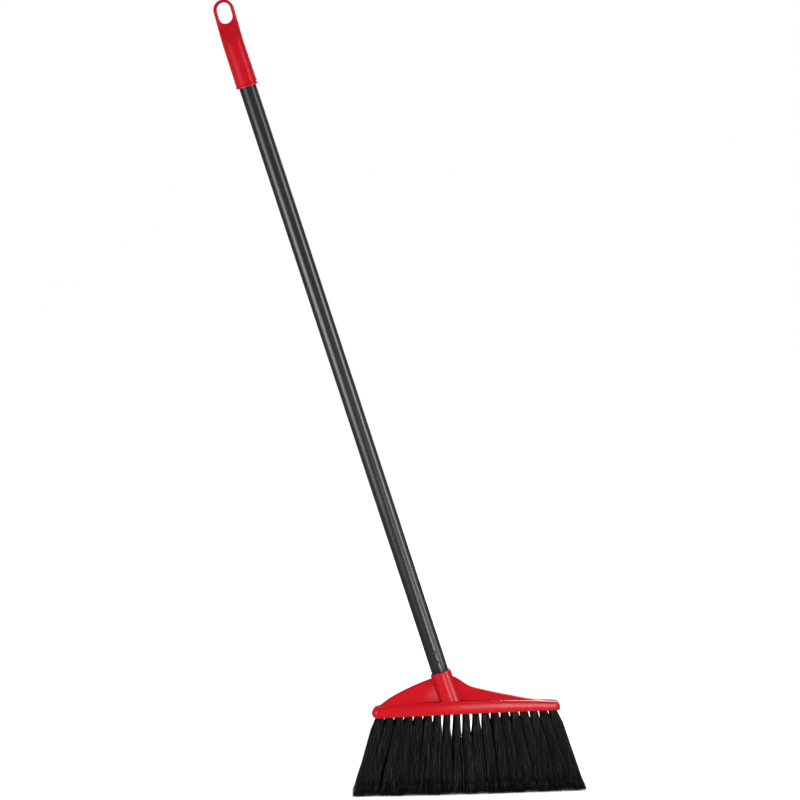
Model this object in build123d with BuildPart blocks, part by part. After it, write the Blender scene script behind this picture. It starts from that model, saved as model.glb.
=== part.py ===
"""Angle broom: moulded brush block, bristle tufts, threaded steel tube handle and hanger grip.

The brush lies along X and its front faces -Y. The origin is the middle of the sweeping face, so the
bristle tips lie on Z = 0, and the handle leans towards -X in the XZ plane.
"""

import os
from math import cos, radians, sin, tan

from build123d import *

os.makedirs("parts", exist_ok=True)

# ---- driving dimensions, in millimetres and degrees ----

# the handle's axis leans from the vertical, and meets the floor at handle_foot_x
handle_lean = 17.1
handle_foot_x = 14.5

# brush block: heights above the floor
block_bottom = 110.2
band_left_foot = 106.2
band_right_foot = 111.2
band_top = 125.4
band_left_top = 120.5
band_right_top = 121.8
block_left = -131.6
block_right = 127.0
block_depth_mid = 44.0
block_depth_end = 30.0
block_corner = 7.0
left_nose = 5.5
right_shoulder = 4.0
wing_inset = 3.0
wing_root = 2.0
wing_stations = 16
wing_toe_share = 0.70
wing_waist_share = 0.60
wing_waist_rise = 0.55
wing_top_share = 0.50

# socket: distances along the handle's axis from the floor
socket_foot = 124.0
bore_floor = 131.0
counterbore_floor = 161.0
socket_rim = 175.0
socket_foot_diameter = 34.0
socket_rim_diameter = 28.5

# tufts: columns run along the brush, rows across it
columns = 19
rows = 3
middle_row_pitch = 13.4
outer_row_pitch = 13.05
hole_diameter = 7.4
hole_depth = 10.0
row_gap_mid = 14.0
row_gap_end = 9.6
tip_pitch = 16.9
tip_gap_mid = 21.0
tip_gap_end = 17.0
cell_gap = 0.6
spread_height = 84.0
tuft_play = 0.1
root_corner_share = 0.58
spread_corner = 2.5
tip_corner = 1.0
fold_sides = 16
fold_overlap = 2.0
staple_height = 2.2
staple_thickness = 0.4
staple_cover = 1.0
staple_play = 0.05

# handle tube: distances along its axis from the floor
tube_diameter = 23.8
tube_wall = 0.6
tube_play = 0.4
tube_top = 1092.0
dimple_stations = (190.0, 204.3)
dimple_depth = 1.0
dimple_radius = 2.6

# threaded insert in the tube's lower end
flange_thickness = 2.0
flange_gap = 0.1
insert_play = 0.05
plug_length = 46.0
plug_chamfer = 1.0
groove_depth = 1.7
groove_width = 6.4
thread_major = 18.9
thread_root = 15.8
thread_pitch = 5.08
thread_length = 27.0
thread_crest = 1.3
thread_base = 2.6
thread_turns = 4
thread_lead_share = 0.45
thread_bite = 0.3
bore_play = 0.1

# hanger grip: distances along the handle's axis from the floor
grip_bottom = 1020.4
grip_top = 1143.0
grip_foot_diameter = 29.8
grip_diameter = 28.4
grip_lip = 0.6
grip_lip_height = 3.0
grip_play = 0.05
side_cut_start = 1066.0
loop_shoulder = 1080.0
shoulder_pull = 12.0
shoulder_share = 0.9
neck_pull = 10.0
side_clearance = 3.0
loop_neck = 1110.0
loop_thickness = 13.0
hang_hole_width = 19.2
hang_hole_length = 29.0
hang_wall = 4.3

# ---- the handle's axis and its planes ----

lean = radians(handle_lean)
handle_foot = Vector(handle_foot_x, 0, 0)
up_handle = Vector(-sin(lean), 0, cos(lean))
across_handle = Vector(cos(lean), 0, sin(lean))
handle_axis = Axis(handle_foot, up_handle)
# local x runs across the handle and local y up it
axial_plane = Plane(origin=handle_foot, x_dir=across_handle, z_dir=(0, -1, 0))
# local x runs across the brush and local y up the handle
side_plane = Plane(origin=handle_foot, x_dir=(0, 1, 0), z_dir=across_handle)
# square to the handle
square_plane = Plane(origin=handle_foot, x_dir=across_handle, z_dir=up_handle)

apex_x = handle_foot_x - band_top * tan(lean)
block_middle = (block_left + block_right) / 2
tube_radius = tube_diameter / 2
tube_bottom = counterbore_floor + flange_gap + flange_thickness
plug_radius = tube_radius - tube_wall - insert_play

# ---- brush block ----

# front view of the wings' crest: it falls steeply to the left end and slowly to the right one
crest = Spline(
    (-126.5, 0, 118.6),
    (-110.9, 0, 130.6),
    (-92.5, 0, 140.9),
    (-56.6, 0, 156.2),
    (-34.0, 0, 162.0),
    (-16.1, 0, 159.5),
    (-0.3, 0, 149.1),
    (16.1, 0, 143.3),
    (44.2, 0, 136.6),
    (75.5, 0, 130.0),
    (94.4, 0, 126.4),
    (121.5, 0, 122.9),
)


def along_brush(x, mid, end):
    """A value that is mid at the socket and end at the block's ends, with a parabola between."""
    reach = (block_right if x > apex_x else block_left) - apex_x
    return mid + (end - mid) * ((x - apex_x) / reach) ** 2


def wing_section(top):
    """Section across the wings under a point of the crest: steep sides on a curved foot."""
    foot = along_brush(top.X, block_depth_mid, block_depth_end) / 2 - wing_inset
    end_top = band_right_top if top.X > apex_x else band_left_top
    base = along_brush(top.X, band_top, end_top) - wing_root
    rise = top.Z - base
    with BuildSketch(Plane(origin=(top.X, 0, base), x_dir=(0, 1, 0), z_dir=(1, 0, 0))) as section:
        with BuildLine():
            for side in (-1, 1):
                Bezier(
                    (side * foot, 0),
                    (side * foot * wing_toe_share, 0),
                    (side * foot * wing_waist_share, rise * wing_waist_rise),
                    (side * foot * wing_top_share, rise),
                    (0, rise),
                )
            Line((-foot, 0), (foot, 0))
        make_face()
    return section.sketch


def tuft_root(column, row):
    """Where a tuft leaves the block. The outer rows are a little shorter than the middle one."""
    side = row - (rows - 1) / 2
    pitch = outer_row_pitch if side else middle_row_pitch
    x = block_middle + (column - (columns - 1) / 2) * pitch
    end_foot = band_right_foot if x > apex_x else band_left_foot
    return Vector(x, side * along_brush(x, row_gap_mid, row_gap_end), along_brush(x, block_bottom, end_foot))


def tuft_tip(column, row):
    """The middle of a tuft's cell on the sweeping face, where the columns have fanned out."""
    side = row - (rows - 1) / 2
    x = (column - (columns - 1) / 2) * tip_pitch
    return Vector(x, side * along_brush(x, tip_gap_mid, tip_gap_end), 0)


def hole_plane(column, row, depth):
    """Plane across a tuft's hole at a depth in the block, with its normal pointing into the block."""
    root = tuft_root(column, row)
    inwards = (root - tuft_tip(column, row)).normalized()
    return Plane(origin=root + inwards * depth, x_dir=Vector(0, 1, 0).cross(inwards), z_dir=inwards)


with BuildPart() as brush_block:
    # band: the plan is two arcs a side, square to Y at the socket where they meet
    with BuildSketch(Plane.XY.offset(band_left_foot)) as plan:
        with BuildLine():
            for side in (-1, 1):
                apex = (apex_x, side * block_depth_mid / 2)
                TangentArc(apex, (block_left, side * block_depth_end / 2), tangent=(-1, 0))
                TangentArc(apex, (block_right, side * block_depth_end / 2), tangent=(1, 0))
            for end in (block_left, block_right):
                Line((end, -block_depth_end / 2), (end, block_depth_end / 2))
        make_face()
        fillet(plan.vertices().filter_by(lambda v: abs(v.Y) < block_depth_mid / 2 - 1), block_corner)
    extrude(amount=band_top - band_left_foot)
    # front view: a slightly arched foot that is lower at the left end, and an arched top
    with BuildSketch(Plane.XZ) as front:
        with BuildLine():
            foot_line = ThreePointArc(
                (block_left, band_left_foot), (block_middle, block_bottom), (block_right, band_right_foot)
            )
            top_line = ThreePointArc(
                (block_left, band_left_top), (block_middle, band_top), (block_right, band_right_top)
            )
            Line(foot_line @ 0, top_line @ 0)
            Line(foot_line @ 1, top_line @ 1)
        make_face()
        fillet(front.vertices().group_by(Axis.X)[0], left_nose)
        fillet(front.vertices().group_by(Axis.X)[-1].sort_by(Axis.Y)[-1], right_shoulder)
    extrude(amount=block_depth_mid, both=True, mode=Mode.INTERSECT)
    # wings
    loft([wing_section(crest @ (station / wing_stations)) for station in range(wing_stations + 1)])
    # socket, with the counterbore for the tube's end and the bore for the thread below it
    with BuildSketch(axial_plane):
        with BuildLine():
            Polyline(
                (0, socket_foot),
                (socket_foot_diameter / 2, socket_foot),
                (socket_rim_diameter / 2, socket_rim),
                (0, socket_rim),
                close=True,
            )
        make_face()
    revolve(axis=handle_axis)
    with BuildSketch(square_plane.offset(counterbore_floor)):
        Circle(tube_radius + tube_play)
    extrude(amount=socket_rim - counterbore_floor, mode=Mode.SUBTRACT)
    with BuildSketch(square_plane.offset(bore_floor)):
        Circle(thread_major / 2 + bore_play)
    extrude(amount=counterbore_floor - bore_floor, mode=Mode.SUBTRACT)
    # tuft holes, drilled along the tufts
    for column in range(columns):
        for row in range(rows):
            with BuildSketch(hole_plane(column, row, -hole_depth / 2)):
                Circle(hole_diameter / 2)
            extrude(amount=hole_depth * 1.5, mode=Mode.SUBTRACT)

brush_block.part.label = "brush_block"
export_step(brush_block.part, "parts/brush_block.step")

# ---- bristle tufts: one node for each column, with one solid for each tuft ----


def tuft_section(middle, width, depth, corner):
    """Level section of a tuft: a rectangle with cut corners."""
    with BuildSketch(Plane(origin=middle)) as section:
        with BuildLine():
            Polyline(
                (width / 2 - corner, -depth / 2),
                (width / 2, corner - depth / 2),
                (width / 2, depth / 2 - corner),
                (width / 2 - corner, depth / 2),
                (corner - width / 2, depth / 2),
                (-width / 2, depth / 2 - corner),
                (-width / 2, corner - depth / 2),
                (corner - width / 2, -depth / 2),
                close=True,
            )
        make_face()
    return section.sketch


tuft_radius = hole_diameter / 2 - tuft_play
for column in range(columns):
    with BuildPart() as tuft_column:
        for row in range(rows):
            root = tuft_root(column, row)
            tip = tuft_tip(column, row)
            # the filaments spread until they meet their neighbours, then fan out to the tips
            share = spread_height / root.Z
            spread = tip + (root - tip) * share
            column_gap = tip_pitch + (outer_row_pitch - tip_pitch) * share
            row_gap_root = along_brush(root.X, row_gap_mid, row_gap_end)
            row_gap_tip = along_brush(tip.X, tip_gap_mid, tip_gap_end)
            row_gap = row_gap_tip + (row_gap_root - row_gap_tip) * share
            loft(
                [
                    tuft_section(root, 2 * tuft_radius, 2 * tuft_radius, tuft_radius * root_corner_share),
                    tuft_section(spread, column_gap - cell_gap, row_gap - cell_gap, spread_corner),
                    tuft_section(tip, tip_pitch - cell_gap, row_gap_tip - cell_gap, tip_corner),
                ],
                ruled=True,
            )
            # the folded ends in the hole, with a slot for the staple
            with BuildSketch(hole_plane(column, row, -fold_overlap)):
                RegularPolygon(tuft_radius, fold_sides)
            extrude(amount=hole_depth + fold_overlap - tuft_play)
            with BuildSketch(hole_plane(column, row, hole_depth - staple_cover - staple_height)):
                Rectangle(hole_diameter * 1.5, staple_thickness + 2 * staple_play)
            extrude(amount=staple_height, mode=Mode.SUBTRACT)
    label = f"tufts_{column + 1:02d}"
    tuft_column.part.label = label
    export_step(tuft_column.part, f"parts/{label}.step")

# ---- anchor staples: one node for each row ----

for row in range(rows):
    with BuildPart() as staples:
        for column in range(columns):
            staple_foot = hole_depth - staple_cover - staple_height + staple_play
            with BuildSketch(hole_plane(column, row, staple_foot)):
                Rectangle(hole_diameter - 2 * staple_play, staple_thickness)
            extrude(amount=staple_height - 2 * staple_play)
    label = f"staples_row_{row + 1}"
    staples.part.label = label
    export_step(staples.part, f"parts/{label}.step")

# ---- handle tube: drawn steel, crimped into the insert's grooves by dimples front and back ----

with BuildPart() as handle_tube:
    with BuildSketch(square_plane.offset(tube_bottom)):
        Circle(tube_radius)
        Circle(tube_radius - tube_wall, mode=Mode.SUBTRACT)
    extrude(amount=tube_top - tube_bottom)
    dimple_centres = [
        handle_foot + up_handle * station + Vector(0, side * (tube_radius + dimple_radius - dimple_depth), 0)
        for station in dimple_stations
        for side in (-1, 1)
    ]
    with Locations(*dimple_centres):
        Sphere(dimple_radius + tube_wall)
    with BuildSketch(square_plane.offset(tube_bottom)):
        Circle(tube_radius)
    extrude(amount=tube_top - tube_bottom, mode=Mode.INTERSECT)
    with Locations(*dimple_centres):
        Sphere(dimple_radius, mode=Mode.SUBTRACT)
handle_tube.part.label = "handle_tube"
export_step(handle_tube.part, "parts/handle_tube.step")

# ---- threaded insert: nylon plug in the tube, flange at the tube's end, coarse thread below ----

with BuildPart() as thread_insert:
    with BuildSketch(axial_plane):
        with BuildLine():
            Polyline(
                (0, tube_bottom - flange_thickness - thread_length),
                (thread_root / 2 - plug_chamfer, tube_bottom - flange_thickness - thread_length),
                (thread_root / 2, tube_bottom - flange_thickness - thread_length + plug_chamfer),
                (thread_root / 2, tube_bottom - flange_thickness),
                (tube_radius, tube_bottom - flange_thickness),
                (tube_radius, tube_bottom),
                (plug_radius, tube_bottom),
                (plug_radius, tube_bottom + plug_length - plug_chamfer),
                (plug_radius - plug_chamfer, tube_bottom + plug_length),
                (0, tube_bottom + plug_length),
                close=True,
            )
        make_face()
    revolve(axis=handle_axis)
    for station in dimple_stations:
        with BuildSketch(square_plane.offset(station - groove_width / 2)):
            Circle(tube_radius)
            Circle(plug_radius - groove_depth, mode=Mode.SUBTRACT)
        extrude(amount=groove_width, mode=Mode.SUBTRACT)
    thread_start = tube_bottom - flange_thickness - thread_length + thread_pitch * thread_lead_share
    helix = Helix(
        thread_pitch,
        thread_pitch * thread_turns,
        thread_root / 2,
        center=handle_foot + up_handle * thread_start,
        direction=up_handle,
        mode=Mode.PRIVATE,
    )
    ridge = (thread_major - thread_root) / 2
    outwards = (helix @ 0) - (handle_foot + up_handle * thread_start)
    with BuildSketch(Plane(origin=helix @ 0, x_dir=outwards, z_dir=helix % 0)):
        with BuildLine():
            Polyline(
                (-thread_bite, -thread_base / 2),
                (0, -thread_base / 2),
                (ridge, -thread_crest / 2),
                (ridge, thread_crest / 2),
                (0, thread_base / 2),
                (-thread_bite, thread_base / 2),
                close=True,
            )
        make_face()
    sweep(path=helix, is_frenet=True)
thread_insert.part.label = "thread_insert"
export_step(thread_insert.part, "parts/thread_insert.step")

# ---- hanger grip: a sleeve over the tube's top end, flattened above it into a loop ----

with BuildPart() as hanger_grip:
    grip_radius = grip_diameter / 2
    foot_radius = grip_foot_diameter / 2
    clear_radius = foot_radius + side_clearance
    loop_centre = grip_top - grip_radius
    with BuildSketch(axial_plane):
        with BuildLine():
            Polyline(
                (0, grip_bottom),
                (foot_radius + grip_lip, grip_bottom),
                (foot_radius + grip_lip, grip_bottom + grip_lip_height),
                (foot_radius, grip_bottom + grip_lip_height + grip_lip),
                (grip_radius, loop_centre),
            )
            RadiusArc((grip_radius, loop_centre), (0, grip_top), -grip_radius)
            Line((0, grip_top), (0, grip_bottom))
        make_face()
    revolve(axis=handle_axis)
    with BuildSketch(side_plane):
        with BuildLine():
            for side in (-1, 1):
                Line((side * clear_radius, grip_bottom), (side * clear_radius, side_cut_start))
                Line((side * clear_radius, side_cut_start), (side * foot_radius, loop_shoulder))
                Bezier(
                    (side * foot_radius, loop_shoulder),
                    (side * foot_radius * shoulder_share, loop_shoulder + shoulder_pull),
                    (side * loop_thickness / 2, loop_neck - neck_pull),
                    (side * loop_thickness / 2, loop_neck),
                )
                Line((side * loop_thickness / 2, loop_neck), (side * loop_thickness / 2, grip_top))
            Line((-clear_radius, grip_bottom), (clear_radius, grip_bottom))
            Line((-loop_thickness / 2, grip_top), (loop_thickness / 2, grip_top))
        make_face()
    extrude(amount=clear_radius, both=True, mode=Mode.INTERSECT)
    # blind bore for the tube
    with BuildSketch(square_plane.offset(grip_bottom)):
        Circle(tube_radius + grip_play)
    extrude(amount=tube_top + grip_play - grip_bottom, mode=Mode.SUBTRACT)
    # oval hang hole
    hole_middle = handle_foot + up_handle * (grip_top - hang_wall - hang_hole_length / 2)
    with BuildSketch(Plane(origin=hole_middle, x_dir=up_handle, z_dir=(0, -1, 0))):
        SlotOverall(hang_hole_length, hang_hole_width)
    extrude(amount=grip_diameter, both=True, mode=Mode.SUBTRACT)
hanger_grip.part.label = "hanger_grip"
export_step(hanger_grip.part, "parts/hanger_grip.step")
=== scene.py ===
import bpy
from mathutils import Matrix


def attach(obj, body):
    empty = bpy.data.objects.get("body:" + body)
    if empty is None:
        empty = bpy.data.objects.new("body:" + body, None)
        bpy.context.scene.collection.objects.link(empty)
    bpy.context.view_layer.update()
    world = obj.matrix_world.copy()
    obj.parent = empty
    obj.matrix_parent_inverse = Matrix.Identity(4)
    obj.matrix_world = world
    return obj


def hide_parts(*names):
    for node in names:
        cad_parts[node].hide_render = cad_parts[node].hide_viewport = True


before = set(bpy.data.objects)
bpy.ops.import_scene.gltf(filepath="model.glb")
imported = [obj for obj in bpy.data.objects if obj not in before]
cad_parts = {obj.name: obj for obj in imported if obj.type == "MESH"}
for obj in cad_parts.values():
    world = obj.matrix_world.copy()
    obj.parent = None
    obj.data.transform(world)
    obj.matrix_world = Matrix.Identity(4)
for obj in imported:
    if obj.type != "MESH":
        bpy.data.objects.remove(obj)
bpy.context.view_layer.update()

import math

import bmesh
import bpy
import numpy as np
from mathutils import Matrix, Vector

# ---------------------------------------------------------------------------
# Handle tube. Thin drawn steel, 23.8 mm across, under a satin charcoal powder
# coat. It is pushed over the nylon insert and held there by two pairs of
# punched dimples, front and back, just above the brush's socket.
# ---------------------------------------------------------------------------

# Pieces are worked out in millimetres; materials, lamps and the camera are in
# metres. A station is a distance up the handle's axis from the floor.
MM = 0.001
HANDLE_LEAN = math.radians(17.1)
HANDLE_FOOT_X = 14.5
HANDLE_FOOT = np.array([HANDLE_FOOT_X, 0.0, 0.0]) * MM
UP_HANDLE = np.array([-math.sin(HANDLE_LEAN), 0.0, math.cos(HANDLE_LEAN)])
ACROSS_HANDLE = np.array([math.cos(HANDLE_LEAN), 0.0, math.sin(HANDLE_LEAN)])
BACKWARDS = np.array([0.0, 1.0, 0.0])

TUBE_RADIUS = 11.9
TUBE_WALL = 0.6
TUBE_CHAMFER = 0.3
TUBE_BOTTOM = 163.1
TUBE_TOP = 1092.0
DIMPLE_STATIONS = (190.0, 204.3)
DIMPLE_DEPTH = 0.8
DIMPLE_WIDTH = 2.3
DIMPLED_LENGTH = (184.0, 211.0)
DIMPLED_STEP = 0.55


class Value:
    """A shader socket that adds Math nodes when it is used in an expression."""

    def __init__(self, look, socket):
        self.look = look
        self.socket = socket

    def __add__(self, other):
        return self.look.math("ADD", self, other)

    def __radd__(self, other):
        return self.look.math("ADD", other, self)

    def __sub__(self, other):
        return self.look.math("SUBTRACT", self, other)

    def __rsub__(self, other):
        return self.look.math("SUBTRACT", other, self)

    def __mul__(self, other):
        return self.look.math("MULTIPLY", self, other)

    def __rmul__(self, other):
        return self.look.math("MULTIPLY", other, self)

    def clamp(self):
        """The value held between 0 and 1."""
        return self.look.node("Clamp", {}, {0: self})


class Look:
    """A material: its node tree, its Principled shader, and the nodes asked of it."""

    def __init__(self, name, lean=0.0, **constants):
        self.lean = lean
        self.material = bpy.data.materials.new(name)
        self.material.use_nodes = True
        self.tree = self.material.node_tree
        self.shader = self.tree.nodes["Principled BSDF"]
        for socket, value in constants.items():
            self.shader.inputs[socket.replace("_", " ")].default_value = value

    def node(self, kind, settings, inputs, out=0):
        """Any node: its type, its settings, then the values or links of its sockets."""
        made = self.tree.nodes.new("ShaderNode" + kind)
        for name, value in settings.items():
            setattr(made, name, value)
        self.feed(made, inputs)
        return Value(self, made.outputs[out])

    def feed(self, made, inputs):
        """Sets or links the sockets of a node."""
        for socket, value in inputs.items():
            if isinstance(value, Value):
                self.tree.links.new(value.socket, made.inputs[socket])
            else:
                made.inputs[socket].default_value = value

    def math(self, operation, *values):
        """A Math node on sockets and numbers."""
        return self.node("Math", {"operation": operation}, dict(enumerate(values)))

    def place(self, *stretch):
        """Object coordinates in metres, turned by the lean and stretched along each axis."""
        inputs = {0: self.node("TexCoord", {}, {}, out=3)}
        inputs["Rotation"] = (0.0, -self.lean, 0.0)
        inputs["Scale"] = stretch
        return self.node("Mapping", {"vector_type": "TEXTURE"}, inputs)

    def noise(self, size, detail=2.0, stretch=(1.0, 1.0, 1.0), roughness=0.5):
        """Noise from 0 to 1 whose features are about size metres."""
        inputs = {"Vector": self.place(*stretch), "Scale": 1.0 / size}
        inputs["Detail"] = detail
        inputs["Roughness"] = roughness
        return self.node("TexNoise", {}, inputs)

    def spots(self, size):
        """Distance from 0 to about 1 to the nearest of points scattered size metres apart."""
        inputs = {"Vector": self.place(1.0, 1.0, 1.0), "Scale": 1.0 / size}
        return self.node("TexVoronoi", {}, inputs)

    def blend(self, share, colour, other):
        """Colour where share is 0, the other where it is 1."""
        settings = {"data_type": "RGBA"}
        return self.node("Mix", settings, {0: share, 6: colour, 7: other}, out=2)

    def relief(self, height, depth, strength=1.0):
        """The normal of a surface raised by height times depth metres."""
        inputs = {"Height": height, "Distance": depth, "Strength": strength}
        return self.node("Bump", {}, inputs)

    def finish(self, **inputs):
        """Links what varies over the surface, and gives the material."""
        named = {socket.replace("_", " "): value for socket, value in inputs.items()}
        self.feed(self.shader, named)
        return self.material


def shade(red, green, blue):
    """A screen colour of 0 to 255 as the linear colour that a shader takes."""
    screen = np.array([red, green, blue]) / 255.0
    linear = np.where(screen <= 0.04045, screen / 12.92, ((screen + 0.055) / 1.055) ** 2.4)
    return (*linear, 1.0)


def put(name, data):
    """A new object in the scene that holds this data."""
    made = bpy.data.objects.new(name, data)
    bpy.context.collection.objects.link(made)
    return made


def piece(name, points, faces, material, body, slot, nodes, sharp=35.0):
    """Points in millimetres and arrays of faces, one array for each number of corners,
    as a smooth mesh that rides on a body and stands for its nodes."""
    mesh = bpy.data.meshes.new(name)
    corners = np.concatenate([block.ravel() for block in faces])
    sizes = np.concatenate([np.full(len(block), block.shape[1]) for block in faces])
    mesh.vertices.add(len(points))
    mesh.vertices.foreach_set("co", (points * MM).ravel())
    mesh.loops.add(len(corners))
    mesh.loops.foreach_set("vertex_index", corners.astype(np.int32))
    mesh.polygons.add(len(sizes))
    mesh.polygons.foreach_set("loop_start", (np.cumsum(sizes) - sizes).astype(np.int32))
    mesh.update(calc_edges=True)
    mesh.shade_smooth()
    mesh.set_sharp_from_angle(angle=math.radians(sharp))
    made = put(name, mesh)
    if material is None:
        return made
    mesh.materials.append(material)
    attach(made, body)
    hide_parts(*nodes)
    return made


def on_handle(station, across, back):
    """Points in millimetres from distances up the handle, across it and behind its axis."""
    return (
        HANDLE_FOOT / MM
        + station[..., None] * UP_HANDLE
        + across[..., None] * ACROSS_HANDLE
        + back[..., None] * BACKWARDS
    )


def ring_faces(rings, around):
    """Quads between neighbouring rings of a grid, each ring closed on itself."""
    grid = np.arange(rings * around).reshape(rings, around)
    here = grid[:-1]
    above = grid[1:]
    quads = np.stack([here, np.roll(here, -1, 1), np.roll(above, -1, 1), above], -1)
    return quads.reshape(-1, 4)


def closed_grid(rings):
    """A grid of rings, bottom to top, with each end closed by a fan about its ring's
    middle: points and faces."""
    count, around = rings.shape[:2]
    points = np.vstack([rings.reshape(-1, 3), rings[0].mean(0), rings[-1].mean(0)])
    low = np.arange(around)
    high = low + (count - 1) * around
    foot = np.stack([np.roll(low, -1), low, np.full(around, count * around)], -1)
    head = np.stack([high, np.roll(high, -1), np.full(around, count * around + 1)], -1)
    return points, [ring_faces(count, around), foot, head]


def looped_grid(rings):
    """A grid of rings whose last ring joins its first: points and faces."""
    count, around = rings.shape[:2]
    faces = ring_faces(count + 1, around) % (count * around)
    return rings.reshape(-1, 3), [faces]


def tube_surface():
    """Radius R - depth * bell(distance to the nearest dimple / width) over angle and
    station. The ends have a small chamfer, and the bore is a plain cylinder."""
    dimpled = np.arange(*DIMPLED_LENGTH, DIMPLED_STEP)
    plain = np.linspace(220, 1080, 24)
    ends = ([TUBE_BOTTOM + TUBE_CHAMFER], [TUBE_TOP - TUBE_CHAMFER])
    outside = np.concatenate([ends[0], dimpled, plain, ends[1]])
    station = np.concatenate([[TUBE_BOTTOM], outside, [TUBE_TOP, TUBE_TOP, TUBE_BOTTOM]])
    radius = np.full(len(station), TUBE_RADIUS)
    radius[[0, len(outside) + 1]] = TUBE_RADIUS - TUBE_CHAMFER / 2
    radius[-2:] = TUBE_RADIUS - TUBE_WALL
    angle = np.linspace(0, 2 * math.pi, 128, endpoint=False)
    station, angle = np.meshgrid(station, angle, indexing="ij")
    sunk = np.zeros_like(station)
    for centre in DIMPLE_STATIONS:
        for side in (-1, 1):
            offset = (angle - side * math.pi / 2 + math.pi) % (2 * math.pi) - math.pi
            distance = np.hypot(station - centre, offset * TUBE_RADIUS) / DIMPLE_WIDTH
            sunk += np.clip(1 - distance**2, 0, 1) ** 1.5
    radius = radius[:, None] - DIMPLE_DEPTH * sunk
    return on_handle(station, radius * np.cos(angle), radius * np.sin(angle))


def powder_coat():
    """Satin charcoal powder: fine orange peel, pale and dark specks, slow drift of gloss."""
    look = Look("satin_charcoal_powder_coat", HANDLE_LEAN, Specular_IOR_Level=0.42)
    drift = look.noise(0.045, 3.0, stretch=(1.0, 1.0, 4.0))
    peel = look.noise(0.0013, 3.0)
    specks = look.noise(0.0022, 4.0, roughness=0.75)
    light = ((specks - 0.60) * 5.0).clamp()
    base = look.blend(drift, shade(16, 17, 20), shade(24, 25, 29))
    colour = look.blend(light * 0.5, base, shade(62, 64, 70))
    return look.finish(
        Base_Color=colour,
        Roughness=0.27 + drift * 0.08 + light * 0.12,
        Normal=look.relief(peel + specks * 0.5, 0.00005, 0.45),
    )


tube_grid = looped_grid(tube_surface())
tube_coat = powder_coat()
piece("handle_tube_skin", *tube_grid, tube_coat, "handle", "tube_grey", ["handle_tube"])

# ---------------------------------------------------------------------------
# Hanger grip. One polypropylene moulding pushed over the tube's top end: a
# round sleeve with a lip at its foot, flattened above the tube into a loop
# with an oval hole to hang the broom by.
# ---------------------------------------------------------------------------
GRIP_BOTTOM = 1020.4
GRIP_TOP = 1143.0
GRIP_FOOT_RADIUS = 14.9
GRIP_RADIUS = 14.2
GRIP_LIP = 0.6
GRIP_BORE = 11.95
LOOP_START = 1080.0
LOOP_NECK = 1110.0
LOOP_HALF_DEPTH = 6.5
LOOP_SET = 2.0
LOOP_CENTRE = GRIP_TOP - GRIP_RADIUS
HANG_HOLE_WIDTH = 19.2
HANG_HOLE_LENGTH = 29.0
HANG_WALL = 4.3
HANG_EDGE = 1.4
CUTTER_PROUD = 0.02
CUTTER_OVER = 2.0
WELD = 0.01 * MM


def smooth_step(values, low, high):
    """0 below low, 1 above high, and 3t^2 - 2t^3 between."""
    t = np.clip((values - low) / (high - low), 0, 1)
    return t * t * (3 - 2 * t)


def grip_surface():
    """Superellipse |x/w|^n + |y/d|^n = 1 carried up the handle: w and d are the sleeve's
    radius, d narrows to the loop, n grows from 2 to 4, both close over the top, and the
    loop's middle moves off the axis by a smooth step."""
    bore_station = np.array([TUBE_TOP, GRIP_BOTTOM + 0.5, GRIP_BOTTOM])
    bore_width = GRIP_BORE + np.array([0.0, 0.0, 0.4])
    foot_station = GRIP_BOTTOM + np.array([0.0, 0.15, 0.6])
    foot_width = GRIP_FOOT_RADIUS + GRIP_LIP * np.array([0.0, 0.75, 1.0])
    lip_station = GRIP_BOTTOM + np.array([2.7, 3.0, 3.35, 3.8])
    lip_width = GRIP_FOOT_RADIUS + GRIP_LIP * np.array([1.0, 0.85, 0.3, 0.0])
    sleeve = np.linspace(GRIP_BOTTOM + 4.4, LOOP_CENTRE, 90)
    fall = (sleeve - sleeve[0]) / (sleeve[-1] - sleeve[0])
    sleeve_width = GRIP_FOOT_RADIUS + (GRIP_RADIUS - GRIP_FOOT_RADIUS) * fall
    rise = np.linspace(0, math.pi / 2 * 0.985, 26)[1:]
    crown = LOOP_CENTRE + GRIP_RADIUS * np.sin(rise)
    crown_width = GRIP_RADIUS * np.cos(rise)
    station = np.concatenate([bore_station, foot_station, lip_station, sleeve, crown])
    width = np.concatenate([bore_width, foot_width, lip_width, sleeve_width, crown_width])
    flat = smooth_step(station, LOOP_START, LOOP_NECK)
    flat[:len(bore_station)] = 0
    closing = (1 - np.clip((station - LOOP_CENTRE) / GRIP_RADIUS, 0, 1) ** 4) ** 0.25
    depth = (1 - flat) * width + flat * LOOP_HALF_DEPTH * closing
    power = 2.0 / (2.0 + 2.0 * flat)
    angle = np.linspace(0, 2 * math.pi, 96, endpoint=False)
    cosine = np.cos(angle)
    sine = np.sin(angle)
    across = np.sign(cosine) * np.abs(cosine) ** power[:, None] * width[:, None]
    across += LOOP_SET * smooth_step(station, LOOP_START, GRIP_TOP)[:, None]
    back = np.sign(sine) * np.abs(sine) ** power[:, None] * depth[:, None]
    return on_handle(np.broadcast_to(station[:, None], across.shape), across, back)


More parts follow.
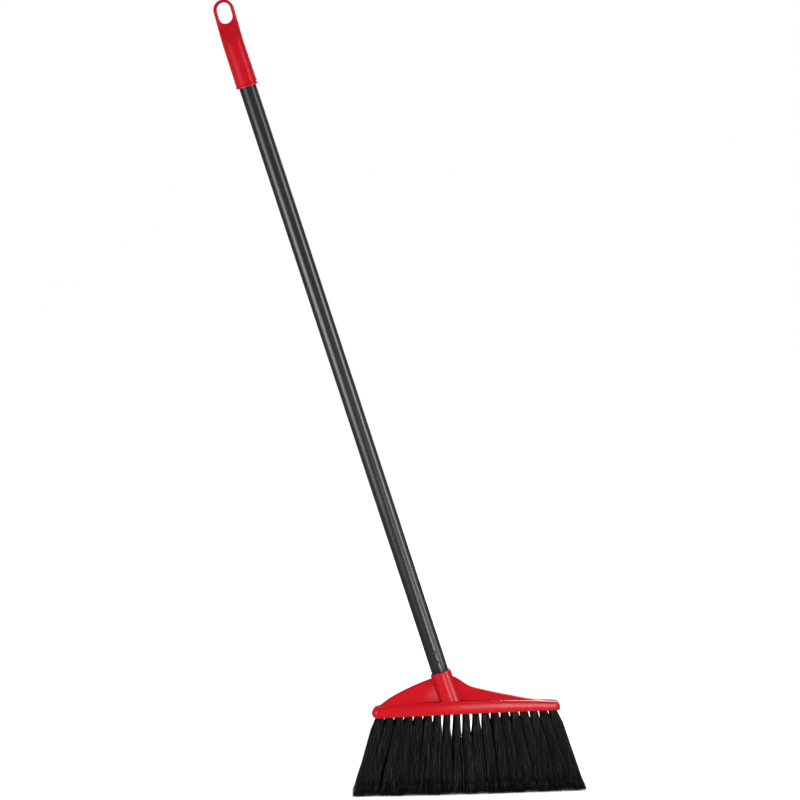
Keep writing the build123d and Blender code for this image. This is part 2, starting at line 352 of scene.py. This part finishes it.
def hang_hole_cutter():
    """A slot outline carried through the loop, widening by a quarter circle of the edge's
    radius at each face."""
    half = LOOP_HALF_DEPTH + CUTTER_PROUD
    turn = np.linspace(0, math.pi / 2, 7)
    near_face = half - HANG_EDGE + HANG_EDGE * np.sin(turn)
    flare = HANG_EDGE * (1 - np.cos(turn))
    ends = [half + CUTTER_OVER]
    widest = [HANG_EDGE + 0.3]
    depth = np.concatenate([np.negative(ends), -near_face[::-1], near_face, ends])
    grow = np.concatenate([widest, flare[::-1], flare, widest])
    middle = GRIP_TOP - HANG_WALL - HANG_HOLE_LENGTH / 2
    reach = (HANG_HOLE_LENGTH - HANG_HOLE_WIDTH) / 2
    angle = -np.linspace(0, 2 * math.pi, 96, endpoint=False) - math.pi / 96
    radius = HANG_HOLE_WIDTH / 2 + grow[:, None]
    across = radius * np.cos(angle)
    station = middle + reach * np.sign(np.sin(angle)) + radius * np.sin(angle)
    across += LOOP_SET * smooth_step(station, LOOP_START, GRIP_TOP)
    return on_handle(station, across, np.broadcast_to(depth[:, None], across.shape))


def tool(name, points, faces):
    """A solid that only shapes another piece, and is removed after its use."""
    return piece(name, points, faces, None, None, None, [])


def combine(target, other, operation):
    """Joins the other solid to the target's mesh or takes it out, and removes it."""
    join = target.modifiers.new("join", "BOOLEAN")
    join.object = other
    join.operation = operation
    join.solver = "EXACT"
    graph = bpy.context.evaluated_depsgraph_get()
    mesh = bpy.data.meshes.new_from_object(target.evaluated_get(graph))
    target.modifiers.clear()
    shape = bmesh.new()
    shape.from_mesh(mesh)
    bmesh.ops.remove_doubles(shape, verts=shape.verts, dist=WELD)
    bmesh.ops.dissolve_degenerate(shape, dist=WELD, edges=shape.edges)
    shape.to_mesh(mesh)
    shape.free()
    target.data = mesh
    bpy.data.objects.remove(other)


def red_plastic(name, pale, deep):
    """Moulded polypropylene: a fine spark-eroded grain, slow drift of colour, satin gloss."""
    look = Look(name, HANDLE_LEAN, Specular_IOR_Level=0.2)
    flow = look.noise(0.03, 2.0, stretch=(1.0, 1.0, 2.0))
    grain = look.noise(0.0006, 3.0)
    colour = look.blend(flow, pale, deep)
    return look.finish(
        Base_Color=colour,
        Roughness=0.24 + flow * 0.08,
        Normal=look.relief(grain, 0.00004, 0.6),
    )


grip_red = red_plastic("grip_red_polypropylene", shade(155, 0, 20), shade(145, 0, 16))
grip_grid = closed_grid(grip_surface())
grip = piece("hanger_grip_shell", *grip_grid, grip_red, "handle", "grip_red", ["hanger_grip"])
combine(grip, tool("hang_hole", *closed_grid(hang_hole_cutter())), "DIFFERENCE")

# ---------------------------------------------------------------------------
# Threaded insert. Glass-filled nylon, dark grey: a plug inside the tube, a
# flange at the tube's end and a coarse broom thread that screws into the
# brush block's socket.
# ---------------------------------------------------------------------------


def nylon():
    """Dull dark nylon with a cloudy surface and faint turning marks."""
    look = Look("insert_nylon", HANDLE_LEAN)
    cloud = look.noise(0.004, 4.0)
    fibres = look.noise(0.0008, 2.0, stretch=(1.0, 1.0, 6.0))
    return look.finish(
        Base_Color=look.blend(cloud, shade(40, 41, 44), shade(66, 67, 70)),
        Roughness=0.45 + cloud * 0.2,
        Normal=look.relief(fibres, 0.00004),
    )


def dress(node, material):
    """Gives a carried-over solid its material."""
    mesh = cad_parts[node].data
    mesh.materials.clear()
    mesh.materials.append(material)


dress("thread_insert", nylon())

# ---------------------------------------------------------------------------
# Brush block. A single red polypropylene moulding: a band drilled for the
# tufts, two swept wings rising on it, and the leaning socket that the handle
# screws into.
# ---------------------------------------------------------------------------

# Two values in brackets hold at the socket and at the block's ends, and three
# at its left end, its middle and its right end.
BLOCK_LEFT = -131.6
BLOCK_RIGHT = 127.0
BLOCK_MIDDLE = -2.3
BAND_FOOT = (106.2, 110.2, 111.2)
BAND_TOP = (120.5, 125.4, 121.8)
BAND_BEVEL = (4.5, 1.2, 1.4)
BAND_CORNER = 7.0
CORNER_STEPS = 8
HALF_DEPTH = (22.0, 15.0)
PLAN_POWER = 1.5
APEX_X = HANDLE_FOOT_X - BAND_TOP[1] * math.tan(HANDLE_LEAN)
NOSE = 6.5
NOSE_FLAT = 0.35
NOSE_SET = 1.5
SHOULDER = 4.0
PLINTH_FOOT = (119.0, 123.9, 120.3)
PLINTH_TOP = (120.9, 127.8, 122.6)

# Levels of the two slabs, from the bottom up: the inset, what each millimetre of
# bevel adds to it, 0 for the foot or 1 for the top, what each millimetre of
# bevel takes off the height, and the rise. The first and last bound the flats.
BAND_LEVELS = (
    (6.8, 0.0, 0, 0.0, 0.0),
    (1.2, 0.0, 0, 0.0, 0.0),
    (0.35, 0.0, 0, 0.0, 0.35),
    (0.0, 0.0, 0, 0.0, 1.2),
    (0.25, 0.0, 1, 1.0, -0.5),
    (0.4, 0.0, 1, 1.0, 0.0),
    (0.65, 0.0, 1, 0.8, 0.0),
    (0.3, 0.62, 1, 0.25, 0.0),
    (0.4, 0.80, 1, 0.06, 0.0),
    (0.7, 0.95, 1, 0.0, 0.0),
    (6.8, 0.0, 1, 0.0, 0.0),
)
PLINTH_LEVELS = (
    (6.8, 0.0, 0, 0.0, 0.0),
    (1.36, 0.7, 0, 0.0, 0.0),
    (1.66, 0.7, 1, 0.0, -0.7),
    (1.91, 0.7, 1, 0.0, -0.2),
    (2.46, 0.7, 1, 0.0, 0.0),
    (6.8, 0.0, 1, 0.0, 0.0),
)

# The wings' crest, and the control points of their half-section, from 0 to 1.
CREST_X = (-126.5, -110.9, -92.5, -56.6, -34.0, -16.1, -0.3, 16.1, 44.2, 75.5, 94.4, 121.5)
CREST_Z = (118.6, 130.6, 140.9, 156.2, 162.0, 159.5, 149.1, 143.3, 136.6, 130.0, 126.4, 122.9)
WING_OUTWARD = (1.0, 0.74, 0.60, 0.46, 0.0)
WING_UPWARD = (0.0, 0.1, 0.6, 0.985, 1.0)
WING_INSET = 3.0
WING_SUNK = 2.5
WING_VALLEY = 0.62
WING_VALLEY_REACH = 34.0
WING_VALLEY_X = HANDLE_FOOT_X - 140.0 * math.tan(HANDLE_LEAN)

SOCKET_FOOT = 124.0
SOCKET_RIM = 175.0
SOCKET_FOOT_RADIUS = 17.0
SOCKET_RIM_RADIUS = 14.25
SOCKET_FLARE = 2.2
SOCKET_FLARE_REACH = 3.5
RIM_DROP = np.array([0.5, 0.15, 0.0])
RIM_INSET = np.array([0.13, 0.5, 1.0])
COUNTERBORE_FLOOR = 161.0
COUNTERBORE_RADIUS = 12.3
BORE_FLOOR = 131.0
BORE_RADIUS = 9.55
MOUTH_DEPTH = 0.6
MOUTH_OVER = 2.0
MOUTH_FLARE = 2.2

COLUMNS = 19
MIDDLE_ROW_PITCH = 13.4
OUTER_ROW_PITCH = 13.05
TIP_PITCH = 16.9
ROW_GAP = (14.0, 9.6)
TIP_GAP = (21.0, 17.0)
HOLE_RADIUS = 3.7
HOLE_DEPTH = 10.0
HOLE_CONE = 1.0
HOLE_OVER = 4.0
BLOCK_CREASE = math.radians(32)


def along_brush(x, mid, end):
    """mid at the socket, changing with a power of the distance to end at each end of the
    block."""
    reach = np.where(x > APEX_X, BLOCK_RIGHT, BLOCK_LEFT) - APEX_X
    return mid + (end - mid) * np.abs((x - APEX_X) / reach) ** PLAN_POWER


def arch(x, heights):
    """The parabola through heights at the block's left end, its middle and its right end."""
    left, middle, right = heights
    t = (x - BLOCK_MIDDLE) / (BLOCK_RIGHT - BLOCK_MIDDLE)
    return middle + (right - left) / 2 * t + ((left + right) / 2 - middle) * t * t


def band_outline():
    """Plan of the band, anticlockwise, and its outward normals: a curve along the front
    and one along the back, with rounded corners and flat ends."""
    turn = np.linspace(0, math.pi / 2, CORNER_STEPS + 1)[:-1]
    corner = BAND_CORNER * (1 - np.cos(turn))
    middle = np.linspace(BLOCK_LEFT + BAND_CORNER, BLOCK_RIGHT - BAND_CORNER, 121)
    x = np.concatenate([BLOCK_LEFT + corner, middle, BLOCK_RIGHT - corner[::-1]])
    rounding = BAND_CORNER * (np.sin(turn) - 1)
    half = along_brush(x, *HALF_DEPTH)
    half[:CORNER_STEPS] += rounding
    half[-CORNER_STEPS:] += rounding[::-1]
    front = np.stack([x, -half], -1)
    back = np.stack([x[::-1], half[::-1]], -1)
    loop = np.concatenate([front, back])
    along = np.roll(loop, -1, 0) - np.roll(loop, 1, 0)
    ends = [0, len(x) - 1, len(x), len(loop) - 1]
    along[ends] = [[0, -1], [0, 1], [0, 1], [0, -1]]
    along /= np.linalg.norm(along, axis=1)[:, None]
    return loop, np.stack([along[:, 1], -along[:, 0]], -1)


def slab(levels, foot, top):
    """A closed slab on the band's outline, whose levels stand at foot or top, arched, less
    their bevel. Near the ends heights close on the slab's middle as a circle's arc does."""
    inset, spread, at_top, drop, rise = np.array(levels).T[:, :, None]
    loop, outward = band_outline()
    inset = inset + spread * arch(loop[:, 0], BAND_BEVEL)
    plan = loop - outward * inset[..., None]
    x = plan[..., 0]
    z = np.where(at_top, arch(x, top), arch(x, foot)) - drop * arch(x, BAND_BEVEL) + rise
    middle = (arch(x, BAND_FOOT) + arch(x, BAND_TOP)) / 2 - NOSE_SET
    from_left = np.clip((x - BLOCK_LEFT) / NOSE, 0, 1)
    from_right = np.clip((BLOCK_RIGHT - x) / SHOULDER, 0, 1)
    close_left = NOSE_FLAT + (1 - NOSE_FLAT) * np.sqrt(1 - (1 - from_left) ** 2)
    close_right = NOSE_FLAT + (1 - NOSE_FLAT) * np.sqrt(1 - (1 - from_right) ** 2)
    z = middle + (z - middle) * close_left
    z = np.where(z > middle, middle + (z - middle) * close_right, z)
    rings = np.stack([x, plan[..., 1], z], -1)
    count, around = x.shape
    front = np.arange(around // 2 - 1)
    back = around - 1 - front
    strip = np.stack([front, front + 1, back - 1, back], -1)
    lid = strip + (count - 1) * around
    return rings.reshape(-1, 3), [ring_faces(count, around), strip[:, ::-1], lid]


def cubic_through(x, knots, values):
    """The natural cubic spline: second derivatives solved from equal slopes at the knots."""
    knots = np.array(knots)
    values = np.array(values)
    step = np.diff(knots)
    slope = np.diff(values) / step
    size = len(knots)
    matrix = np.eye(size)
    inner = np.arange(1, size - 1)
    matrix[inner, inner - 1] = step[:-1]
    matrix[inner, inner] = 2 * (step[:-1] + step[1:])
    matrix[inner, inner + 1] = step[1:]
    bend = np.linalg.solve(matrix, np.concatenate([[0], 6 * np.diff(slope), [0]]))
    cell = np.clip(np.searchsorted(knots, x) - 1, 0, size - 2)
    right = (x - knots[cell]) / step[cell]
    left = 1 - right
    curve = (left**3 - left) * bend[cell] + (right**3 - right) * bend[cell + 1]
    return left * values[cell] + right * values[cell + 1] + curve * step[cell] ** 2 / 6


def wing_surface():
    """Both wings: across each station a quartic Bezier half-bell from the curved foot to
    the crest, mirrored front to back, closed below, and thinned by a bell of x beside the
    socket."""
    x = np.linspace(CREST_X[0], CREST_X[-1], 161)
    valley = 1 - WING_VALLEY * np.exp(-(((x - WING_VALLEY_X) / WING_VALLEY_REACH) ** 2))
    foot = (along_brush(x, *HALF_DEPTH) - WING_INSET) * valley
    crest = cubic_through(x, CREST_X, CREST_Z)
    base = np.minimum(arch(x, BAND_TOP), crest) - WING_SUNK
    t = np.linspace(0, 1, 29)
    u = 1 - t
    weights = np.stack([u**4, 4 * t * u**3, 6 * t**2 * u**2, 4 * t**3 * u, t**4])
    outward = WING_OUTWARD @ weights
    upward = WING_UPWARD @ weights
    outward = np.concatenate([-outward, outward[::-1][1:]])
    upward = np.concatenate([upward, upward[::-1][1:]])
    y = foot[:, None] * outward
    z = base[:, None] + (crest - base)[:, None] * upward
    return closed_grid(np.stack([np.broadcast_to(x[:, None], y.shape), -y, z], -1))


def turned(station, radius, sides, first_angle):
    """A profile of stations and radii turned about the handle's axis, closed at its ends.
    Solids with first angles of their own have no edges that coincide."""
    angle = np.linspace(0, 2 * math.pi, sides, endpoint=False) + first_angle
    across = radius[:, None] * np.cos(angle)
    back = radius[:, None] * np.sin(angle)
    station = np.broadcast_to(station[:, None], across.shape)
    return closed_grid(on_handle(station, across, back))


def socket_surface():
    """The socket: a foot flared by a falling exponential, a slight taper, a rounded rim."""
    wall = np.linspace(SOCKET_FOOT + 2.0, SOCKET_RIM - 1.0, 50)
    station = np.concatenate([[SOCKET_FOOT], wall, SOCKET_RIM - RIM_DROP])
    share = (station - SOCKET_FOOT) / (SOCKET_RIM - SOCKET_FOOT)
    radius = SOCKET_FOOT_RADIUS + (SOCKET_RIM_RADIUS - SOCKET_FOOT_RADIUS) * share
    radius += SOCKET_FLARE * np.exp(-(station - SOCKET_FOOT) / SOCKET_FLARE_REACH)
    radius[-len(RIM_INSET):] -= RIM_INSET
    return turned(station, radius, 96, 0.01)


def bore_cutter():
    """A stepped plug: the thread's bore, the tube's counterbore above it and its mouth."""
    mouth = [SOCKET_RIM - MOUTH_DEPTH, SOCKET_RIM + MOUTH_OVER]
    station = np.array([BORE_FLOOR, COUNTERBORE_FLOOR, COUNTERBORE_FLOOR, *mouth])
    grow = np.array([0.0, 0.0, 0.0, 0.0, MOUTH_FLARE])
    radius = np.repeat([BORE_RADIUS, COUNTERBORE_RADIUS], [2, 3]) + grow
    return turned(station, radius, 80, 0.02)


def tuft_grid():
    """Root and tip of every tuft's middle, as arrays over row and column: fanned columns,
    curved rows."""
    column = np.arange(COLUMNS) - (COLUMNS - 1) / 2
    side = np.array([-1.0, 0.0, 1.0])[:, None]
    pitch = np.where(side == 0, MIDDLE_ROW_PITCH, OUTER_ROW_PITCH)
    root_x = BLOCK_MIDDLE + column * pitch
    tip_x = column * TIP_PITCH + 0 * side
    root = [root_x, side * along_brush(root_x, *ROW_GAP), arch(root_x, BAND_FOOT)]
    tip = [tip_x, side * along_brush(tip_x, *TIP_GAP), 0 * tip_x]
    return np.stack(root, -1), np.stack(tip, -1)


def gathered(parts):
    """Several meshes as one: their points, and their faces of each kind, numbered on from
    the points before them."""
    points = np.concatenate([points for points, _ in parts])
    first = np.cumsum([0] + [len(points) for points, _ in parts])
    faces = [[block + start for block in blocks] for (_, blocks), start in zip(parts, first)]
    return points, [np.concatenate(kind) for kind in zip(*faces)]


def hole_cutters():
    """Blind holes with conical ends, each a turned profile along its tuft's direction."""
    root, tip = tuft_grid()
    root = root.reshape(-1, 3)
    inward = root - tip.reshape(-1, 3)
    inward /= np.linalg.norm(inward, axis=1)[:, None]
    depth = np.array([-HOLE_OVER, HOLE_DEPTH - HOLE_CONE, HOLE_DEPTH])
    radius = np.array([HOLE_RADIUS, HOLE_RADIUS, HOLE_RADIUS / 2])
    angle = np.linspace(0, 2 * math.pi, 20, endpoint=False)
    first = np.cross([0.0, 1.0, 0.0], inward)
    first /= np.linalg.norm(first, axis=1)[:, None]
    second = np.cross(inward, first)
    spoke = first[:, None] * np.cos(angle)[:, None] + second[:, None] * np.sin(angle)[:, None]
    rings = root[:, None, None] + inward[:, None, None] * depth[:, None, None]
    rings = rings + spoke[:, None] * radius[:, None, None]
    return gathered([closed_grid(hole) for hole in rings])


block_red = red_plastic("block_red_polypropylene", shade(151, 0, 15), shade(141, 0, 11))
band = slab(BAND_LEVELS, BAND_FOOT, BAND_TOP)
block = piece("brush_block_shell", *band, block_red, "head", "block_red", ["brush_block"])
combine(block, tool("plinth", *slab(PLINTH_LEVELS, PLINTH_FOOT, PLINTH_TOP)), "UNION")
combine(block, tool("wings", *wing_surface()), "UNION")
combine(block, tool("socket", *socket_surface()), "UNION")
combine(block, tool("bore", *bore_cutter()), "DIFFERENCE")
combine(block, tool("holes", *hole_cutters()), "DIFFERENCE")
block.data.set_sharp_from_angle(angle=BLOCK_CREASE)

# ---------------------------------------------------------------------------
# Anchor staples. Flat galvanised wire, one across each tuft's fold, driven
# into the block at the bottom of the hole.
# ---------------------------------------------------------------------------


def galvanised():
    """Zinc on steel wire: bright metal, mottled by its crystals."""
    look = Look("galvanised_wire", Metallic=1.0)
    mottle = look.spots(0.0012)
    return look.finish(
        Base_Color=look.blend(mottle, shade(150, 152, 156), shade(198, 200, 204)),
        Roughness=0.3 + mottle * 0.2,
    )


staple_wire = galvanised()
for row in (1, 2, 3):
    dress(f"staples_row_{row}", staple_wire)

# ---------------------------------------------------------------------------
# Tufts. Black polypropylene filaments, folded over a staple in each of 57
# holes, three rows of nineteen. They leave the holes as round bundles, fan
# out, and are split at the tips into finer hairs.
# ---------------------------------------------------------------------------
FILAMENTS = 150
FILAMENT_RADII = 0.27 * np.array([1.0, 1.0, 1.0, 1.0, 1.0, 0.95, 0.9, 0.5])
FOLD_DEPTH = 9.0
BUNDLE_RADIUS = 3.5
NECK_RADIUS = 4.4
NECK_PINCH = 0.6
STIFF_X = -14.0
STIFF_REACH = 25.0
MEETING = 0.12
STIFF_MEETING = 0.42
MEETING_JITTER = 0.03
BRUSH_HALF_DEPTH = 31.6
TIP_JITTER = (0.9, 0.35)
MIDDLE_JITTER = (0.55, 0.3)
WANDER = 0.05
BOW = 0.5
RAGGED_ENDS = 1.1
TUFT_LIFT = 0.8
COLUMN_LIFT = 1.7
LOW_COLUMN_STEP = 3
HAIRS = 2
HAIR_RADII = 0.14 * np.array([1.0, 0.9, 0.5])
HAIR_START = 0.80
HAIR_SPREAD = 0.9
HAIR_FLATNESS = 0.6
HAIR_MARGIN = 0.6
GOLDEN_HALF_TURNS = 3 - math.sqrt(5)
ANY_TURN = 6.28
SQUARENESS = 0.2
OPENING_REACH = 1.3
FIRST_SEED = 100


def wires(paths, radii, phase):
    """Three-sided tubes along paths (wire, station, xyz), with a ring radius for each
    station and both ends closed: points and faces."""
    count, stations = paths.shape[:2]
    corner = phase[:, None, None] + np.arange(3) * (2 * math.pi / 3)
    ring = np.stack(np.broadcast_arrays(np.cos(corner), -np.sin(corner), 0 * corner), -1)
    points = paths[:, :, None, :] + radii[:, None, None] * ring
    grid = np.arange(count * stations * 3).reshape(count, stations, 3)
    here = grid[:, :-1]
    above = grid[:, 1:]
    sides = np.stack([here, np.roll(here, -1, 2), np.roll(above, -1, 2), above], -1)
    ends = np.concatenate([grid[:, 0, ::-1], grid[:, -1]])
    return points.reshape(-1, 3), [sides.reshape(-1, 4), ends]


def within(paths, limit):
    """The paths with no point further than limit in front of the brush's middle or behind."""
    paths[..., 1] = np.clip(paths[..., 1], -limit, limit)
    return paths


def tuft_paths(root, tip, pitch, gaps, lift, rng):
    """Middle lines of one tuft's filaments (filament, station, xyz). A sunflower of unit
    points is scaled to the hole, to a neck just below it, to the gap between tufts where
    they meet, and to the tips' cell. Near the handle the tufts are stiffer: their neck is
    narrower and they meet lower. Each filament wanders and bows a little, and its end
    stands above the floor by lift and an uneven length."""
    tip = tip[:2] + rng.normal(0, TIP_JITTER)
    number = np.arange(FILAMENTS) + 0.5
    reach = np.sqrt(number / FILAMENTS)
    turn = number * math.pi * GOLDEN_HALF_TURNS + rng.uniform(0, ANY_TURN)
    unit = np.stack([reach * np.cos(turn), reach * np.sin(turn)], -1)
    square = unit * (1 + SQUARENESS * np.sin(2 * turn)[:, None] ** 2)
    wander = rng.normal(0, WANDER, (FILAMENTS, 2))
    stiff = math.exp(-(((root[0] - STIFF_X) / STIFF_REACH) ** 2))
    meeting = MEETING + STIFF_MEETING * stiff + abs(rng.normal(0, MEETING_JITTER))
    # The fold, the hole's mouth, the neck, three steps to the meeting, and two to the tip.
    share = np.array([0, 0, 0.03, meeting * 0.35, meeting * 0.7, meeting, 0.78, 1.0])
    height = root[2] * (1 - share)
    height[0] += FOLD_DEPTH
    arc = np.sin(math.pi * share)[:, None]
    centre = root[:2] + (tip - root[:2]) * share[:, None]
    centre = centre + rng.normal(0, MIDDLE_JITTER) * arc**0.5
    width = pitch + (TIP_PITCH - pitch) * share
    depth = gaps[0] + (gaps[1] - gaps[0]) * share
    cell = np.stack([width, depth], -1) / 2
    opened = smooth_step(share, 0, meeting * OPENING_REACH)[:, None]
    neck = np.where(share > 0, NECK_RADIUS - NECK_PINCH * stiff, BUNDLE_RADIUS)[:, None]
    size = neck + (cell - neck) * opened
    shape = unit[:, None] + (square + wander - unit)[:, None] * opened
    shape = shape + wander[:, None] * share[:, None]
    bow = rng.normal(0, BOW, (FILAMENTS, 1, 2)) * arc**2
    ragged = lift + np.abs(rng.normal(0, RAGGED_ENDS, FILAMENTS)) + rng.uniform(0, TUFT_LIFT)
    level = height + ragged[:, None] * share**3
    paths = np.concatenate([centre + size * shape + bow, level[..., None]], -1)
    return within(paths, BRUSH_HALF_DEPTH)


def split_hairs(paths, rng):
    """Middle lines of the finer hairs that the filaments' ends are split into, leaving
    their filament further out towards their own ends."""
    share = np.linspace(0, 1, len(HAIR_RADII))[:, None]
    last = paths[:, -1]
    start = paths[:, -2] + (last - paths[:, -2]) * (1 - HAIR_START)
    away = rng.normal(0, HAIR_SPREAD, (FILAMENTS, 3))
    away[:, 1] *= HAIR_FLATNESS
    away[:, 2] = np.abs(away[:, 2])
    hairs = start[:, None] + (last - start)[:, None] * share + away[:, None] * share**1.5
    return within(hairs, BRUSH_HALF_DEPTH + HAIR_MARGIN)


def bristle():
    """Extruded black filament: a satin sheen that differs from wire to wire and along it."""
    look = Look("bristle_black_filament", Specular_IOR_Level=0.2)
    tone = look.noise(0.0018, 2.0, stretch=(1.0, 1.0, 40.0))
    streak = look.noise(0.009, 2.0, stretch=(1.0, 1.0, 12.0))
    bright = ((tone - 0.52) * 5.0 + (streak - 0.45)).clamp()
    return look.finish(
        Base_Color=look.blend(bright, shade(1, 1, 2), shade(48, 48, 52)),
        Roughness=0.42 + streak * 0.2,
        Normal=look.relief(tone, 0.0001, 0.3),
    )


bristle_black = bristle()
roots, tips = tuft_grid()
for column in range(COLUMNS):
    rng = np.random.default_rng(FIRST_SEED + column)
    lift = rng.uniform(0, COLUMN_LIFT) if column % LOW_COLUMN_STEP else 0.0
    groups = []
    for root, tip in zip(roots[:, column], tips[:, column]):
        pitch = MIDDLE_ROW_PITCH if root[1] == 0 else OUTER_ROW_PITCH
        gaps = (along_brush(root[0], *ROW_GAP), along_brush(tip[0], *TIP_GAP))
        paths = tuft_paths(root, tip, pitch, gaps, lift, rng)
        groups.append(wires(paths, FILAMENT_RADII, rng.uniform(0, ANY_TURN, FILAMENTS)))
        for _ in range(HAIRS):
            hairs = split_hairs(paths, rng)
            groups.append(wires(hairs, HAIR_RADII, rng.uniform(0, ANY_TURN, FILAMENTS)))
    node = f"tufts_{column + 1:02d}"
    name = node + "_filaments"
    piece(name, *gathered(groups), bristle_black, "head", "bristle_black", [node], 180.0)

# ---------------------------------------------------------------------------
# Studio. A wide pale floor, a soft white sky, a broad ceiling light, and four
# lamps: left and right of the camera, low in front, and behind.
# ---------------------------------------------------------------------------
FLOOR_REACH = 150.0
FLOOR_TONES = ((0.96, 0.96, 0.96, 1.0), (0.98, 0.98, 0.98, 1.0))
ROOM_LIGHT = 0.22
CEILING_LIGHT = 2.6
CEILING_SPREAD = math.radians(110)
CEILING_TILT = math.radians(12)
CAMERA_PLACE = Vector((-0.641738, -7.953622, 1.198848))
CAMERA_YAW = math.radians(4.0)
CAMERA_DROP = math.radians(4.7048)
CAMERA_ROLL = math.radians(-1.0323)
CAMERA_LENS = 263.336


def studio_floor():
    """A plain pale floor whose tone drifts very slightly."""
    look = Look("studio_floor", Roughness=0.9, Specular_IOR_Level=0.0)
    return look.finish(Base_Color=look.blend(look.noise(0.6, 2.0), *FLOOR_TONES))


floor_mesh = bpy.data.meshes.new("studio_floor")
floor_corners = FLOOR_REACH * np.array([(-1, -1, 0), (1, -1, 0), (1, 1, 0), (-1, 1, 0)])
floor_mesh.from_pydata(floor_corners.tolist(), [], [(0, 1, 2, 3)])
floor_mesh.materials.append(studio_floor())
floor = put("studio_floor", floor_mesh)
floor.visible_glossy = False

world = bpy.data.worlds.new("soft_white_room")
world.use_nodes = True
room = world.node_tree
sky = room.nodes["Background"]
sky.inputs["Color"].default_value = (1.0, 1.0, 1.0, 1.0)
seen = room.nodes.new("ShaderNodeLightPath").outputs["Is Camera Ray"]
brightness = room.nodes.new("ShaderNodeMix")
brightness.inputs[2].default_value = ROOM_LIGHT
brightness.inputs[3].default_value = 1.0
room.links.new(seen, brightness.inputs[0])
room.links.new(brightness.outputs[0], sky.inputs["Strength"])
bpy.context.scene.world = world


def soft_lamp(name, place, aim, size, power):
    """A rectangular lamp at place that faces aim."""
    lamp = bpy.data.lights.new(name, "AREA")
    lamp.shape = "RECTANGLE"
    lamp.size, lamp.size_y = size
    lamp.energy = power
    made = put(name, lamp)
    made.location = place
    made.visible_camera = False
    made.rotation_euler = (Vector(aim) - Vector(place)).to_track_quat("-Z", "Y").to_euler()


soft_lamp("left_strip", (-1.0, -0.74, 0.35), (-0.1, 0.0, 0.6), (0.7, 0.5), 13.0)
soft_lamp("right_window", (2.6, -1.5, 1.1), (-0.1, 0.0, 0.45), (1.1, 0.9), 54.0)
soft_lamp("low_front", (0.42, -1.25, 0.10), (0.06, 0.0, 0.12), (0.46, 0.18), 7.5)
soft_lamp("back_fill", (0.9, 2.6, 1.9), (-0.05, 0.0, 0.4), (1.4, 1.0), 55.0)
ceiling_lamp = bpy.data.lights.new("ceiling", "SUN")
ceiling_lamp.energy = CEILING_LIGHT
ceiling_lamp.angle = CEILING_SPREAD
ceiling = put("ceiling", ceiling_lamp)
ceiling.rotation_euler = (CEILING_TILT, 0.0, 0.0)
ceiling.visible_glossy = False

camera_data = bpy.data.cameras.new("studio_camera")
camera_data.lens = CAMERA_LENS
camera_data.sensor_width = 36.0
camera_data.clip_start = 0.1
camera_data.clip_end = 500.0
camera = put("studio_camera", camera_data)
level_ahead = Vector((math.sin(CAMERA_YAW), math.cos(CAMERA_YAW), 0.0))
ahead = math.cos(CAMERA_DROP) * level_ahead - Vector((0.0, 0.0, math.sin(CAMERA_DROP)))
level_right = Vector((math.cos(CAMERA_YAW), -math.sin(CAMERA_YAW), 0.0))
level_up = level_right.cross(ahead)
right = math.cos(CAMERA_ROLL) * level_right + math.sin(CAMERA_ROLL) * level_up
up = math.cos(CAMERA_ROLL) * level_up - math.sin(CAMERA_ROLL) * level_right
turn = Matrix((right, up, -ahead)).transposed().to_4x4()
camera.matrix_world = Matrix.Translation(CAMERA_PLACE) @ turn
bpy.context.scene.camera = camera
bpy.context.scene.view_settings.view_transform = "Standard"
